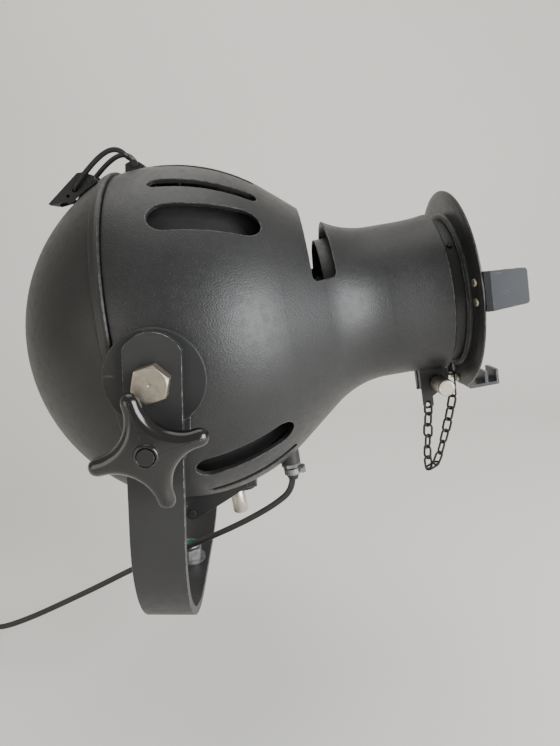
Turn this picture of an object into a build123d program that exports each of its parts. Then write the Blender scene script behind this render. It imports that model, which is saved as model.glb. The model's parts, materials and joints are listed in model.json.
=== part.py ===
from build123d import *
import os
from math import asin, atan2, cos, degrees, hypot, pi, radians, sin, sqrt, tan

# Theatre profile spotlight: a pebble-shaped cast lamphouse with a long snout, hung in a U-shaped yoke.
# Units are millimetres. The origin is the mounting hole in the yoke's foot, on the face that meets
# the stand. +X is where the snout points, +Z is up, and -Y is the side of the locking knob.

os.makedirs("parts", exist_ok=True)

# ---- driving dimensions ----
STRAP_W = 35.0            # width of the yoke strap
STRAP_T = 6.0             # thickness of the yoke strap
YOKE_HALF = 150.5         # outer half width of the yoke
YOKE_BEND = 112.0         # outer radius of the yoke's two bends
PIVOT_H = 213.0           # height of the tilt pivot above the yoke's foot
MOUNT_R = 6.5             # radius of the mounting hole in the foot
HEAD_TILT = 10.6          # the snout points this many degrees above the horizon
AXIS_RISE = 3.5           # the optical axis passes this far above the pivot
LENS_CLOCK = -4.0         # how far the lens tube is turned in the snout

WALL = 3.2                # casting wall
BODY_R = 135.0            # ball part of the front casing
SLOPE = 38.9              # taper of the cone between ball and snout, degrees
NECK_R = 72.6             # radius of the hollow bend from cone to snout
SNOUT_R = 62.5            # outer radius of the snout
SEAM_X = -24.0            # plane where rear cover and front casing meet
RIM_X = 210.5             # front rim of the snout
RIM_R = 64.5              # radius of the flared rim
COVER_R = 141.7           # ball radius of the rear cover
COVER_X = 19.5            # centre of that ball
COVER_WALL = 2.6
GATE_X = (108.0, 126.3)   # gate slot, back and front
GATE_Z = 32.0             # floor of the gate slot above the optical axis

TUBE_R = 59.0             # outer radius of the sliding lens tube
TUBE_X = (118.0, 220.0)   # its two ends
BRIM_R = 80.6             # outer radius of the colour-frame flange
BRIM_X = 222.4            # back face of that flange near its rim
GAP = 0.3                 # air between pieces that move past each other
FIT = 0.06                # running clearance on a radius

# vents: turn about the optical axis from the top, and width
TOP_VENTS = ((11.5, 11.0), (30.8, 11.5), (46.8, 24.0))
LOW_VENTS = ((126.4, 21.0), (143.9, 9.0))
VENT_X = (6.0, 78.0)
BAFFLES = ((31.0, 51.0), (134.0, 30.0))        # turn and spread of the strips behind the vents
BAFFLE_R = 118.0
BAFFLE_X = (-2.0, 86.0)
BAFFLE_T = 1.6

PIVOT_BOLT_R = 6.35
HEX_AF = 20.8             # across the flats of the pivot bolts' heads
DISC_R = 31.6             # friction discs between yoke and casing
DISC_T = 5.0
DISC_OUT = YOKE_HALF - STRAP_T - GAP
DISC_IN = DISC_OUT - DISC_T
BOLT_SEAT = YOKE_HALF + GAP
BOLT_HEAD = 9.0
BOLT_END = 126.0
KNOB_STUD_R = 5.0
KNOB_DROP = 37.6          # knob axis below the pivot
KNOB_TIP = (31.2, 5.6)    # where the end of each arm is centred, and its radius
KNOB_HOLLOW_AT = 42.5     # where the hollow between two arms is centred
KNOB_TURN = 18.0

HINGE_X, HINGE_Z = -20.5, -148.7      # rear cover hinge pin, from pivot and optical axis
LATCH_X, LATCH_Z = -50.5, 130.5       # pivot of the latch lever
LATCH_PIN_R = 2.0
BAIL_X, BAIL_Z = -63.5, 125.6         # where the wire loop is held in the lever
BAIL_WIRE = 2.0                       # radius of that wire
KEEPER_X, KEEPER_BOLT_Z = -14.0, 137.6
LATCH_MOVE = (3.6, 1.6)               # the whole latch is moved by this in X and Z
LAMP_X = -4.0
TRAY_SCREW_X = 17.0
TRAY_SCREW_Z = (-168.2, -144.5)       # its grip

# on the lens tube and the snout: x along the optical axis, z from it
RIVET_X, RIVET_TURN = 215.2, 52.0
RUNNER_TURNS = (-90.0, 0.0, 90.0)     # colour-frame runners: near, bottom and far
RUNNER_SCREW_R = 73.5
RUNNER_L = 28.5
RUNNER_TAPER = 1.8
CLAMP_X = (189.5, 213.0)
CLAMP_SCREW = (203.8, -74.8)
TAB_HOLE = (193.4, -91.8)
TAB_HOLE_R = 2.6
LUG_HOLE = (219.0, -70.0)
LUG_Y = 2.5
LUG_HOLE_R = 1.75

CHAIN_WIRE = 0.85
LINK_L, LINK_W = 13.6, 8.0
CLIP_L = 22.0
FLEX_W = 5.4              # width of the twin flex
FLEX_HOLE = FLEX_W / 2 + 0.3
FLEX_LENGTH = 1800.0
GLAND_X, GLAND_Y = 70.0, -30.0
GLAND_BORE = 4.4                      # radius of its threaded spigot
GLAND_NUT_AF = 14.0
GRIP_R = 5.6
GLAND_SEAT = -117.2                   # flat under the casing that the grip's nut bears on
GLAND_Z = (-120.4, -128.4, -132.0)    # lower ends of the grip's nut, body and sleeve
FLOOR_Z = -92.0           # surface that the coil and the plug lie on
COIL_AT = (-236.0, -10.0)
COIL_R = 30.0
COIL_Z = (-91.2, -69.6)
FLEX_ROUTE = [(90.2, -30, 111.5), (92.3, -30, 100.5), (89.5, -29.6, 86.5), (80.0, -28.0, 76.8),
              (67.5, -25.4, 66.4), (46.0, -21, 51.3), (20.0, -16, 35.8), (-2.0, -13.6, 24.2),
              (-28.0, -11, 11.8), (-53.0, -9.2, -1.4), (-83.0, -7.6, -19.2), (-117.0, -6.0, -37.9),
              (-151.0, -5, -55.7), (-180.0, -4, -67.6), (-203.0, 5.6, -71.9), (-223.1, 17.1, -72.3)]
TAIL_ROUTE = [(-268.7, -10, -88.5), (-268.5, -24, -87.8), (-267.6, -38, -85.4), (-267.0, -52, -85.0)]

HEAD = Pos(0, 0, PIVOT_H) * Rot(0, -HEAD_TILT, 0)     # head frame: origin on the pivot
AXIS = HEAD * Pos(0, 0, AXIS_RISE)                     # same, with X on the optical axis
LENS = AXIS * Rot(LENS_CLOCK, 0, 0)                    # same, turned with the lens tube

NODES = {}


def add(name, *shapes):
    """Store a node; several shapes stay separate solids."""
    solids = [s for shape in shapes for s in shape.solids()]
    NODES[name] = solids[0] if len(solids) == 1 else Compound(children=solids)


# ---- helpers ----
def turned(points):
    """Ring turned about X from a closed outline of (x, radius) points."""
    outline = Polyline(*[(x, 0, r) for x, r in points], close=True)
    return revolve(make_face(outline), Axis.X)


def box(x, y, z):
    """Box between two corners given as three ranges."""
    size = (x[1] - x[0], y[1] - y[0], z[1] - z[0])
    centre = ((x[0] + x[1]) / 2, (y[0] + y[1]) / 2, (z[0] + z[1]) / 2)
    return Pos(*centre) * Box(*size)


def rod_y(radius, y0, y1, x=0.0, z=0.0):
    """Round bar along Y."""
    length = abs(y1 - y0)
    return Pos(x, (y0 + y1) / 2, z) * Rot(90, 0, 0) * Cylinder(radius, length)


def rod_z(radius, z0, z1, x=0.0, y=0.0):
    return Pos(x, y, (z0 + z1) / 2) * Cylinder(radius, abs(z1 - z0))


def rod_x(radius, x0, x1, y=0.0, z=0.0):
    return Pos((x0 + x1) / 2, y, z) * Rot(0, 90, 0) * Cylinder(radius, abs(x1 - x0))


def plate_y(points, y0, y1):
    """Flat plate with an outline in X and Z, between two Y planes."""
    outline = make_face(Polyline(*[(x, y0, z) for x, z in points], close=True))
    return extrude(outline, y1 - y0, dir=(0, 1, 0))


def hexagon_y(across_flats, y0, y1, x=0.0, z=0.0, turn=0.0):
    sketch = Plane((x, y0, z), x_dir=(1, 0, 0), z_dir=(0, 1, 0)) * Rot(0, 0, turn)
    face = sketch * RegularPolygon(across_flats / 2, 6, major_radius=False)
    return extrude(face, y1 - y0, dir=(0, 1, 0))


def bent_rod(points, radius, bend):
    """Bent wire: straight runs with rounded corners."""
    path = FilletPolyline(*points, radius=bend)
    section = Plane(origin=path @ 0, z_dir=path % 0) * Circle(radius)
    return sweep(section, path=path)


def at(frame, x, y, z):
    """Point of a local frame in the part's own frame."""
    return (frame * Pos(x, y, z)).position


# ---- yoke and its fasteners ----
def yoke():
    """Flat strap bent into a U, with full-round tops and a hole for each fastener."""
    def u_face(inset):
        half = YOKE_HALF - inset
        top = PIVOT_H + STRAP_W
        corner = YOKE_BEND - inset
        outline = FilletPolyline((0, half, top), (0, half, inset), (0, -half, inset), (0, -half, top),
                                 radius=corner)
        return make_face([outline, Line((0, -half, top), (0, half, top))])
    start = Pos(-STRAP_W / 2, 0, 0)
    outer = extrude(start * u_face(0), STRAP_W, dir=(1, 0, 0))
    inner = extrude(start * u_face(STRAP_T), STRAP_W, dir=(1, 0, 0))
    strap = outer - inner
    round_r = STRAP_W / 2 + 2
    crown = rod_y(round_r, -YOKE_HALF, YOKE_HALF, z=PIVOT_H + 10.3)
    body = box((-STRAP_W / 2, STRAP_W / 2), (-YOKE_HALF, YOKE_HALF), (0, PIVOT_H + 18))
    strap = strap & (crown + body)
    strap -= rod_y(PIVOT_BOLT_R + FIT, -YOKE_HALF - 1, YOKE_HALF + 1, z=PIVOT_H)
    strap -= rod_y(KNOB_STUD_R + FIT, -YOKE_HALF - 1, 0, z=PIVOT_H - KNOB_DROP)
    strap -= rod_z(MOUNT_R, -1, STRAP_T + 1)
    return strap


def softened(shape, radius, edges=None):
    """The shape with its edges rounded."""
    return fillet(edges if edges is not None else shape.edges(), radius)


def mount_nut():
    """Flanged lock nut with a nylon collar, on the inside of the yoke's foot."""
    base = STRAP_T
    washer = rod_z(14, base, base + 2) - rod_z(MOUNT_R, base - 1, base + 3)
    hexagon = Pos(0, 0, base + 2.05) * extrude(RegularPolygon(9.5, 6, major_radius=False), 10)
    nut = hexagon - rod_z(MOUNT_R, base, base + 20)
    collar = rod_z(8.6, base + 12.1, base + 15.1) - rod_z(MOUNT_R, base, base + 20)
    add("mount_washer", washer)
    add("mount_lock_nut", nut)
    add("mount_nut_nylon_collar", collar)


def pivot_parts():
    """Bolt, washerless hex head and friction disc on each side; all of them tilt with the head."""
    for side, name in ((-1, "near"), (1, "far")):
        shank = rod_y(PIVOT_BOLT_R, side * BOLT_SEAT, side * BOLT_END)
        head = hexagon_y(HEX_AF, side * BOLT_SEAT, side * (BOLT_SEAT + BOLT_HEAD), turn=12)
        crown = rod_y(HEX_AF / 2 + 0.9, side * BOLT_SEAT, side * (BOLT_SEAT + BOLT_HEAD))
        add(f"pivot_bolt_{name}", HEAD * (shank + (head & crown)))
        disc = rod_y(DISC_R, side * DISC_OUT, side * DISC_IN) - rod_y(PIVOT_BOLT_R, -200, 200)
        rim = disc.edges().filter_by(GeomType.CIRCLE).sort_by(SortBy.RADIUS)[-2:]
        add(f"friction_disc_{name}", HEAD * softened(disc, 0.8, rim))


def knob_outline():
    """Star with four round-ended arms and a hollow between each two."""
    tip_at, tip_r = KNOB_TIP
    side = KNOB_HOLLOW_AT / sqrt(2)
    apart = hypot(side - tip_at, side)
    leave = (tip_at + tip_r * (side - tip_at) / apart, tip_r * side / apart)
    floor = (KNOB_HOLLOW_AT - apart + tip_r) / sqrt(2)
    edges = []
    for k in range(4):
        spin = Rot(0, 0, 90 * k)
        edges.append(spin * ThreePointArc((leave[0], -leave[1]), (tip_at + tip_r, 0), leave))
        edges.append(spin * ThreePointArc(leave, (floor, floor), (leave[1], leave[0])))
    return make_face(edges)


def clamp_parts():
    """Locking knob, its stud, and the plate that it draws against the friction disc."""
    z = PIVOT_H - KNOB_DROP
    plate_out = DISC_IN - GAP
    plate = rod_y(20.5, -plate_out, -plate_out + 3, z=z - 3)
    plate += box((-20.5, 20.5), (-plate_out, -plate_out + 3), (z - 3, PIVOT_H - 8))
    plate -= rod_y(25, -200, 0, z=PIVOT_H)
    plate -= rod_y(KNOB_STUD_R + FIT, -200, 0, z=z)
    add("clamp_plate", plate.solids().sort_by(SortBy.VOLUME)[-1])
    back, front = YOKE_HALF + 11.5, YOKE_HALF + 24.0
    place = Plane((0, -back, z), x_dir=(1, 0, 0), z_dir=(0, -1, 0)) * Rot(0, 0, KNOB_TURN)
    face = place * knob_outline()
    star = extrude(face, front - back, dir=(0, -1, 0))
    star = softened(star, 4.6)
    neck = rod_y(10.5, -BOLT_SEAT, -back - 4, z=z)
    hub = rod_y(8.2, -front + 3, -front - 2.0, z=z)
    grip = star + neck + hub - rod_y(KNOB_STUD_R, -200, 0, z=z)
    add("lock_knob", grip)
    add("knob_stud", rod_y(KNOB_STUD_R, -front - 2.5, -plate_out + 2.9, z=z))


# ---- front casing ----
def casing_edges(t):
    """Outline of the casting from seam to snout, a distance t inside the outer skin."""
    s = radians(SLOPE)
    ball = BODY_R - t
    neck_x = (BODY_R + NECK_R - (SNOUT_R + NECK_R) * cos(s)) / sin(s)
    neck_z = SNOUT_R + NECK_R
    bend = NECK_R + t
    start = (SEAM_X, 0, sqrt(ball**2 - SEAM_X**2))
    middle = (30, 0, sqrt(ball**2 - 30**2))
    cone_a = (ball * sin(s), 0, ball * cos(s))
    cone_b = (neck_x - bend * sin(s), 0, neck_z - bend * cos(s))
    half = radians(SLOPE / 2)
    mid = (neck_x - bend * sin(half), 0, neck_z - bend * cos(half))
    neck = (neck_x, 0, neck_z - bend)
    edges = [ThreePointArc(start, middle, cone_a), Line(cone_a, cone_b), ThreePointArc(cone_b, mid, neck)]
    return edges, start, neck


def casing_shell():
    outer, outer_start, outer_neck = casing_edges(0)
    inner, inner_start, inner_neck = casing_edges(WALL)
    flare_x = 182
    lip = (RIM_X - 1.2, 0, RIM_R)
    front = (RIM_X, 0, RIM_R - 1.6)
    bore_front = (RIM_X, 0, TUBE_R + GAP)
    tail = [Line(outer_neck, (flare_x, 0, SNOUT_R)),
            ThreePointArc((flare_x, 0, SNOUT_R), (198, 0, SNOUT_R + 0.6), lip),
            Line(lip, front), Line(front, bore_front), Line(bore_front, inner_neck),
            Line(outer_start, inner_start)]
    return revolve(make_face([*outer, *inner, *tail]), Axis.X)


def casing_core(t):
    """Solid that fills the casting behind the snout, a distance t inside the outer skin."""
    edges, start, neck = casing_edges(t)
    ends = [Line((start[0], 0, 0), start), Line(neck, (neck[0], 0, 0)), Line((neck[0], 0, 0), (start[0], 0, 0))]
    return revolve(make_face([*edges, *ends]), Axis.X)


def vent_cutter(turn, width):
    length = VENT_X[1] - VENT_X[0]
    slot = Pos((VENT_X[0] + VENT_X[1]) / 2, 0, 88) * SlotOverall(length, width)
    return Rot(-turn, 0, 0) * extrude(slot, 70)


def all_vents():
    """Turns and widths of every vent, both sides."""
    pairs = TOP_VENTS + LOW_VENTS
    return [(side * turn, width) for turn, width in pairs for side in (1, -1)]


def front_casing():
    shell = casing_shell()
    inside = casing_core(WALL)
    spigot = turned([(SEAM_X - 6, 124), (SEAM_X - 6, 126.2), (SEAM_X, 126.2), (SEAM_X + 5, 130.2),
                     (SEAM_X + 5, 124)])
    shell += spigot - turned([(-60, 0), (60, 0), (60, 124), (-60, 124)])
    bolt_z = -AXIS_RISE
    for side in (-1, 1):
        shell += box((-23.4, 24), sorted((side * DISC_IN, side * 118)), (-40, 40)) \
            & rod_y(24, side * DISC_IN, side * 118, z=bolt_z) - inside
    frame = box((-23.4, 38), (-27, 27), (-135.3, -122))
    shell += frame - turned([(-60, 0), (60, 0), (60, 127), (-60, 127)])
    shell -= rod_y(PIVOT_BOLT_R + FIT, -200, 200, z=bolt_z)
    shell -= box((-21, 12.5), (-18, 18), (-150, -100))
    shell -= rod_z(3.0, -140, -110, x=TRAY_SCREW_X)
    gate = box(GATE_X, (-120, 120), (GATE_Z, 120))
    gate = fillet(gate.edges().filter_by(Axis.Y).group_by(Axis.Z)[0], 4)
    shell -= gate
    for turn, width in all_vents():
        shell -= vent_cutter(turn, width)
    slot = box((CLAMP_X[0] - 8, RIM_X + 1), (-2, 2), (-80, -40))
    shell -= Rot(LENS_CLOCK, 0, 0) * slot
    seat = rod_z(GLAND_NUT_AF / 2 + 1.2, GLAND_SEAT, -104, x=GLAND_X, y=GLAND_Y)
    shell += seat - inside
    shell -= rod_z(GLAND_BORE + FIT, -140, -90, x=GLAND_X, y=GLAND_Y)
    return shell


def light_baffles():
    """Curved strips behind the vents that stop stray light; hot air passes along their open sides."""
    x0, x1 = BAFFLE_X
    t = BAFFLE_T
    wall = BODY_R - WALL - 0.25
    cone = (wall - x1 * sin(radians(SLOPE))) / cos(radians(SLOPE))

    def low(x):
        return sqrt(BAFFLE_R**2 - x**2)

    def high(x):
        return sqrt((BAFFLE_R + t)**2 - x**2)
    mid = (x0 + x1) / 2
    outline = [(x0 - t, low(x0)), (x0, low(x0)), (x1, low(x1)), (x1 + t, low(x1)), (x1 + t, cone - 1.3),
               (x1, cone), (x1, high(x1)), (x0, high(x0)), (x0, wall), (x0 - t, wall)]
    points = [(x, 0, z) for x, z in outline]
    edges = [Line(points[0], points[1]), ThreePointArc(points[1], (mid, 0, low(mid)), points[2])]
    edges += [Line(p, q) for p, q in zip(points[2:6], points[3:7])]
    edges += [ThreePointArc(points[6], (mid, 0, high(mid)), points[7])]
    edges += [Line(p, q) for p, q in zip(points[7:], points[8:] + points[:1])]
    section = make_face(edges)
    strips = []
    for turn, spread in BAFFLES:
        for side in (1, -1):
            strips.append(Rot(-side * turn - spread / 2, 0, 0) * revolve(section, Axis.X, spread))
    return strips


# ---- rear cover ----
def rear_cover():
    """Domed cover: a ball cap with a rolled lip, and a hinge arm under it."""
    def cap(radius):
        return Pos(COVER_X, 0, 0) * Sphere(radius)
    edge = SEAM_X - 0.6
    keep = box((-200, edge), (-200, 200), (-200, 200))
    shell = (cap(COVER_R) - cap(COVER_R - COVER_WALL)) & keep
    r = sqrt(COVER_R**2 - (edge - COVER_X)**2)
    lip = turned([(edge - 8, r - 4.5), (edge - 8, r - 2.4), (edge - 6.8, r - 0.6), (edge - 3, r + 0.7),
                  (edge - 0.8, r + 0.7), (edge, r), (edge, r - COVER_WALL)])
    shell = shell + lip
    arm = plate_y([(edge - 7, -r + 2.5), (edge - 1, -r + 2.5), (HINGE_X + 1, HINGE_Z + 4),
                   (HINGE_X + 1, HINGE_Z), (HINGE_X - 5, HINGE_Z), (edge - 7, -r - 6)], -12, 12)
    shell += arm
    shell += rod_y(6.0, -12, 12, x=HINGE_X, z=HINGE_Z)
    shell -= rod_y(3.0 + FIT, -40, 40, x=HINGE_X, z=HINGE_Z)
    return shell


def cover_hinge():
    """Two plates under the casing that carry the rear cover's hinge pin."""
    x, z = HINGE_X, HINGE_Z
    outline = [(30, -130), (30, -133), (8, -143.5), (x + 5.5, z - 5.0), (x + 3, z - 6.2), (x - 2, z - 6.6),
               (x - 5.5, z - 4), (x - 7, z), (x - 6, z + 4), (x - 2.5, z + 7.5), (x - 1.5, z + 18), (x, -129)]
    plates = []
    for y in (-30.0, 27.5):
        blank = plate_y(outline, y, y + 2.5) - Sphere(BODY_R + 0.02)
        blank = blank.solids().sort_by(SortBy.VOLUME)[-1]
        plates.append(blank - rod_y(3.0, -60, 60, x=x, z=z))
    return plates, rod_y(3.0, -31.5, 31.5, x=x, z=z)


# ---- over-centre latch ----
def latch():
    """Folded lever, its base on the cover, the wire loop, and the keeper on the casing."""
    move_x, move_z = LATCH_MOVE
    place = AXIS * Pos(move_x, 0, move_z)
    cover_ball = Pos(COVER_X - move_x, 0, -move_z) * Sphere(COVER_R + 0.02)
    casing_ball = Pos(-move_x, 0, -move_z) * Sphere(BODY_R + 0.02)
    side = [(-86.5, 118.6), (-84, 117.0), (-73, 118.2), (-70, 115.8), (-58, 122.8), (-46.2, 128.6),
            (-46.5, 133), (-53.5, 137.4), (-59.0, 137.6)]
    cheeks = [plate_y(side, -12, -10.4), plate_y(side, 10.4, 12)]
    web = plate_y([(-86.5, 118.6), (-59.0, 137.6), (-53.5, 137.4), (-54.2, 135.8), (-58.6, 136.0),
                   (-85.4, 117.4)], -10.4, 10.4)
    lever = cheeks[0] + cheeks[1] + web
    lever -= rod_y(LATCH_PIN_R + FIT, -20, 20, x=LATCH_X, z=LATCH_Z)
    lever -= rod_y(BAIL_WIRE + FIT, -20, 20, x=BAIL_X, z=BAIL_Z)
    lever -= rod_y(1.6, -20, 20, x=-70, z=122.0)
    add("latch_lever", place * lever)
    add("latch_pivot_pin", place * rod_y(LATCH_PIN_R, -12.6, 12.6, x=LATCH_X, z=LATCH_Z))
    foot = plate_y([(-66, 108), (-41, 122), (-43.5, 127.5), (-47.5, 133.0), (-51.5, 134.0), (-54.2, 131.0),
                    (-54.5, 125.0), (-64, 119)], -9.6, 9.6)
    foot = foot - cover_ball
    foot = foot.solids().sort_by(SortBy.VOLUME)[-1]
    foot -= box((-60, -45), (-6.5, 6.5), (124.5, 140))
    foot -= rod_y(LATCH_PIN_R + FIT, -20, 20, x=LATCH_X, z=LATCH_Z)
    add("latch_base", place * foot)
    y = 12.0 + GAP + BAIL_WIRE + 0.3
    legs = [(BAIL_X, -8.5, BAIL_Z), (BAIL_X, -y, BAIL_Z), (-40, -y, 143.2), (-29.5, -y, 147.5),
            (KEEPER_X - 3.5, -y, 142.6)]
    legs += [(px, -py, pz) for px, py, pz in reversed(legs)]
    add("latch_loop", place * bent_rod(legs, BAIL_WIRE, 2.6))
    keeper = plate_y([(-24.5, 125), (-5.5, 125), (-7, 135), (-11, 138.6), (-17, 139.9), (-21.5, 138.5)], -9, 9)
    keeper = keeper - casing_ball
    keeper = keeper.solids().sort_by(SortBy.VOLUME)[-1]
    keeper -= rod_y(1.5, -20, 20, x=KEEPER_X, z=KEEPER_BOLT_Z)
    add("latch_keeper", place * keeper)
    bolt = rod_y(1.5, -9.5, 11.5, x=KEEPER_X, z=KEEPER_BOLT_Z)
    head = rod_y(2.8, -11.0, -9.05, x=KEEPER_X, z=KEEPER_BOLT_Z)
    nut = hexagon_y(5.0, 9.05, 11.3, x=KEEPER_X, z=KEEPER_BOLT_Z)
    add("keeper_bolt", place * (bolt + head + nut))


# ---- optics inside the casing ----
def optics():
    mirror = make_face([ThreePointArc((-66, 0, 5), (-38, 0, 58), (18, 0, 88)),
                        Line((18, 0, 88), (18, 0, 89.4)),
                        ThreePointArc((18, 0, 89.4), (-39.2, 0, 59), (-67.3, 0, 5)),
                        Line((-67.3, 0, 5), (-66, 0, 5))])
    bowl = revolve(mirror, Axis.X) - box((-20.5, 12.5), (-16.5, 16.5), (-120, -5))
    add("reflector", AXIS * bowl)
    ring = turned([(18.1, 86), (18.1, 97), (20.1, 97), (20.1, 86)])
    arm = box((18.1, 20.1), (-7, 7), (95, 129.4))
    for turn in (0, 90, -90):
        ring += Rot(turn, 0, 0) * arm
    ring -= box((-20.5, 12.5), (-16.5, 16.5), (-120, -5))
    add("reflector_carrier", AXIS * ring)
    x = LAMP_X
    glass = turned_z([(0, -52), (11, -52), (14, -47), (14, 26), (11.5, 33), (6, 37), (0, 38)], x)
    base = rod_z(12.5, -68, -52, x=x)
    add("lamp_bulb", AXIS * glass)
    add("lamp_cap", AXIS * base)
    holder = rod_z(15.5, -100, -66, x=x) - rod_z(12.55, -68.05, -60, x=x)
    add("lampholder", AXIS * holder)
    tray = box((-20.5, 36), (-25, 25), (-138.4, -135.4))
    tray = fillet(tray.edges().filter_by(Axis.Z), 7)
    post = rod_z(7, -135.4, -100, x=x)
    tray += post
    tray -= rod_z(3.0, -160, -130, x=TRAY_SCREW_X)
    add("lamp_tray", AXIS * tray)
    grip_end, grip_top = TRAY_SCREW_Z
    screw = rod_z(3.0 - FIT, grip_top, -128, x=TRAY_SCREW_X)
    grip = rod_z(6.5, grip_end, grip_top, x=TRAY_SCREW_X)
    collar = rod_z(4.6, grip_top, -138.8, x=TRAY_SCREW_X)
    add("tray_thumbscrew", AXIS * (screw + grip + collar))
    gate = turned([(103.0, 30), (103.0, 86.0), (105.0, 84.6), (105.0, 30)])
    add("gate_plate", AXIS * gate)
    rails = []
    for side in (-1, 1):
        web = box((105.1, 113), sorted((side * 40, side * 43)), (-38, 30))
        lip = box((111, 113), sorted((side * 35, side * 41)), (-38, 30))
        rails.append(AXIS * (web + lip))
    add("gate_runners", *rails)


def turned_z(points, x):
    """Solid of revolution about a vertical line at x, from (radius, z) points."""
    outline = Polyline(*[(r, 0, z) for r, z in points], close=True)
    return Pos(x, 0, 0) * revolve(make_face(outline), Axis.Z)


# ---- lens tube and what slides with it ----
def lens_group():
    x0, x1 = TUBE_X
    rivet_at = Rot(RIVET_TURN, 0, 0)
    tube = turned([(x0, TUBE_R - 2), (x0, TUBE_R), (x1, TUBE_R), (x1, TUBE_R - 2)])
    tube -= rivet_at * rod_z(1.5, 50, 70, x=RIVET_X)
    add("lens_tube", LENS * tube)
    brim = turned([(218.8, TUBE_R + 0.05), (218.8, 62.0), (221.0, 62.1), (222.0, 63.2), (222.0, 66.0),
                   (222.1, 70.0), (222.6, 75.0), (223.6, 78.6), (224.6, BRIM_R), (225.8, BRIM_R - 0.2),
                   (225.5, 78.0),
                   (224.9, 75.0), (224.4, 70.0), (224.2, 66.0), (224.2, 56.0), (220.1, 56.0),
                   (220.1, TUBE_R + 0.05)])
    lug = box((216.4, 220.9), (LUG_Y - 1, LUG_Y + 1), (LUG_HOLE[1] - 3.0, -62.0))
    lug -= rod_y(LUG_HOLE_R, LUG_Y - 3, LUG_Y + 3, x=LUG_HOLE[0], z=LUG_HOLE[1])
    lug -= brim
    screws = []
    holes = []
    for turn in RUNNER_TURNS:
        for y in (-7, 7):
            spot = Rot(turn, 0, 0)
            head = rod_x(3.0, 220.6, 222.1, y=y, z=-RUNNER_SCREW_R)
            slot = box((220.5, 221.1), (y - 0.5, y + 0.5), (-RUNNER_SCREW_R - 4, -RUNNER_SCREW_R + 4))
            screws.append(LENS * spot * (head - slot + rod_x(1.75, 222.1, 229.2, y=y, z=-RUNNER_SCREW_R)))
            holes.append(spot * rod_x(1.8, 215, 240, y=y, z=-RUNNER_SCREW_R))
    for hole in holes:
        brim -= hole
    add("brim", LENS * brim)
    add("chain_lug", LENS * lug)
    add("runner_screws", *screws)
    section = [(226.1, -66), (228.1, -66), (228.1, -81.5), (242.5, -81.5), (242.5, -71.5), (245, -71.5),
               (245, -81.5), (252.6, -81.5), (252.6, -71.5), (255.2, -71.5), (255.2, -84), (229.5, -84),
               (226.1, -81)]
    half, tip = RUNNER_L / 2, RUNNER_L / 2 - RUNNER_TAPER
    plan = make_face(Polyline((226.0, -half), (227.5, -half), (255.2, -tip), (255.2, tip), (227.5, half),
                              (226.0, half), close=True))
    plan = fillet(plan.vertices().group_by(Axis.X)[-1], 2.5)
    plan = Pos(0, 0, -90) * extrude(plan, 30)
    for turn, name in zip(RUNNER_TURNS, ("near", "bottom", "far")):
        runner = plate_y(section, -RUNNER_L / 2, RUNNER_L / 2) & plan
        for y in (-7, 7):
            runner -= rod_x(1.8, 215, 240, y=y, z=-RUNNER_SCREW_R)
        add(f"colour_runner_{name}", LENS * Rot(turn, 0, 0) * runner)
    rim = 56.4
    sag = 15.0
    back, front = 192.0, 196.0
    curve = (rim**2 + sag**2) / (2 * sag)
    half = asin(rim / curve) / 2
    middle = (front + sag - curve + curve * cos(half), 0, curve * sin(half))
    edges = [Line((back, 0, 0), (back, 0, rim)), Line((back, 0, rim), (front, 0, rim)),
             ThreePointArc((front, 0, rim), middle, (front + sag, 0, 0)),
             Line((front + sag, 0, 0), (back, 0, 0))]
    add("lens", LENS * revolve(make_face(edges), Axis.X))
    rings = []
    for x, inner in ((back - 1.4, 53.0), (front + 2.4, 54.8)):
        rings.append(LENS * turned([(x - 1.2, inner), (x - 1.2, 56.9), (x + 1.2, 56.9), (x + 1.2, inner)]))
    add("lens_retaining_rings", *rings)
    rivet = rod_z(1.45, 56.5, 59.1, x=RIVET_X) + rod_z(2.3, 59.1, 60.6, x=RIVET_X)
    add("tube_rivet", LENS * rivet_at * rivet)


# ---- split clamp on the snout ----
def lens_clamp():
    """Two ears either side of the slot in the snout; the near one carries the chain."""
    x0, x1 = CLAMP_X
    core = turned([(150, 0), (150, SNOUT_R), (182, SNOUT_R), (198, SNOUT_R + 0.6), (RIM_X - 1.2, RIM_R),
                   (x1 + 1, RIM_R), (x1 + 1, 0)])
    hx, hz = TAB_HOLE
    front, back = -74.5, -79.0
    tab = [(x0, -60), (x1, -60), (x1, front), (x1 - 4, -80), (hx + 5, -86), (hx + 5, hz - 1.5),
           (hx + 3, hz - 4.3), (hx - 2, hz - 4.3), (hx - 3.9, hz - 1.5), (x0, -84), (x0, back)]
    short = [(x0, -60), (x1, -60), (x1, front), (x1 - 4, -80), (hx + 5, -82), (x0, -82), (x0, back)]
    ears = []
    for side, outline in ((-1, tab), (1, short)):
        lo, hi = sorted((side * 9.5, side * 7.7))
        ear = plate_y(outline, lo, hi)
        inner = sorted((side * 9.5, side * 2.6))
        ear += box((x0, x0 + 2), inner, (back, -60))
        ear += box((x1 - 2, x1), inner, (front, -60))
        ear -= core
        ear -= rod_y(3.0 + FIT, -20, 20, x=CLAMP_SCREW[0], z=CLAMP_SCREW[1])
        ear -= rod_y(TAB_HOLE_R, -20, 20, x=hx, z=hz)
        ears.append(ear.solids().sort_by(SortBy.VOLUME)[-1])
    add("clamp_ear_near", LENS * ears[0])
    add("clamp_ear_far", LENS * ears[1])
    sx, sz = CLAMP_SCREW
    shank = rod_y(3.0, -11, 16, x=sx, z=sz)
    collar = rod_y(4.6, -12.5, -9.8, x=sx, z=sz)
    grip = rod_y(6.9, -36, -12.5, x=sx, z=sz)
    grip = softened(grip, 0.7)
    add("clamp_thumbscrew", LENS * (shank + collar + grip))
    nut = hexagon_y(10, 9.6, 14.2, x=sx, z=sz) - rod_y(3.0 + FIT, 0, 30, x=sx, z=sz)
    add("clamp_nut", LENS * nut)


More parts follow.
